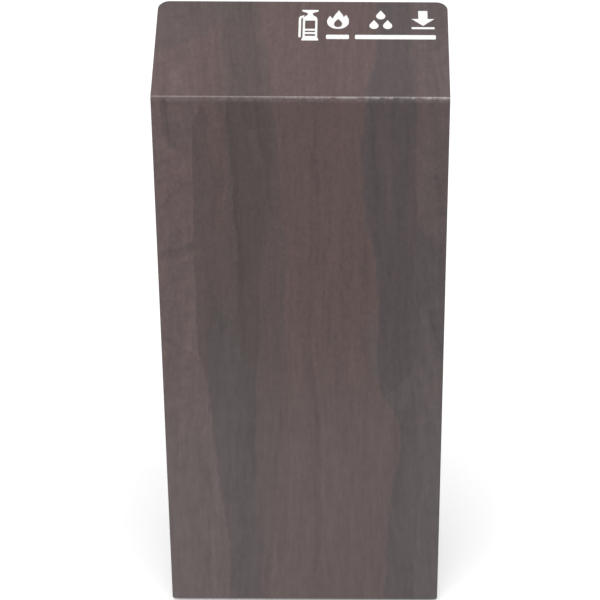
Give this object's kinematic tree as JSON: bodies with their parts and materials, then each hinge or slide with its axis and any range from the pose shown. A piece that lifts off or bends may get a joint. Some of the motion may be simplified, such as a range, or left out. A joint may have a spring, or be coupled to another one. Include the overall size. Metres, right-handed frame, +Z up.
{
  "type": "fire extinguisher cover",
  "caption": "Free-standing folded sheet cover for a fire extinguisher: upright walnut-patterned panel, flap sloping up and back, and a foot that the extinguisher stands on.",
  "frame": {"origin": "on the floor, under the centre of the footprint", "axes": "+Z up, the front panel faces -Y, +X to the right of someone facing the front"},
  "size_m": [0.265, 0.15, 0.5974],
  "materials": {
    "walnut_laminated_steel": "steel sheet with a dark walnut film on its outer side, matte, and a plain dark coat inside",
    "pad_rubber": "matte black rubber",
    "white_print": "thin white screen print on the flap"
  },
  "bodies": {
    "root": {"cover_sheet": "walnut_laminated_steel", "pad_front_left": "pad_rubber", "pad_front_right": "pad_rubber", "pad_rear_left": "pad_rubber", "pad_rear_right": "pad_rubber"}
  },
  "joints": []
}
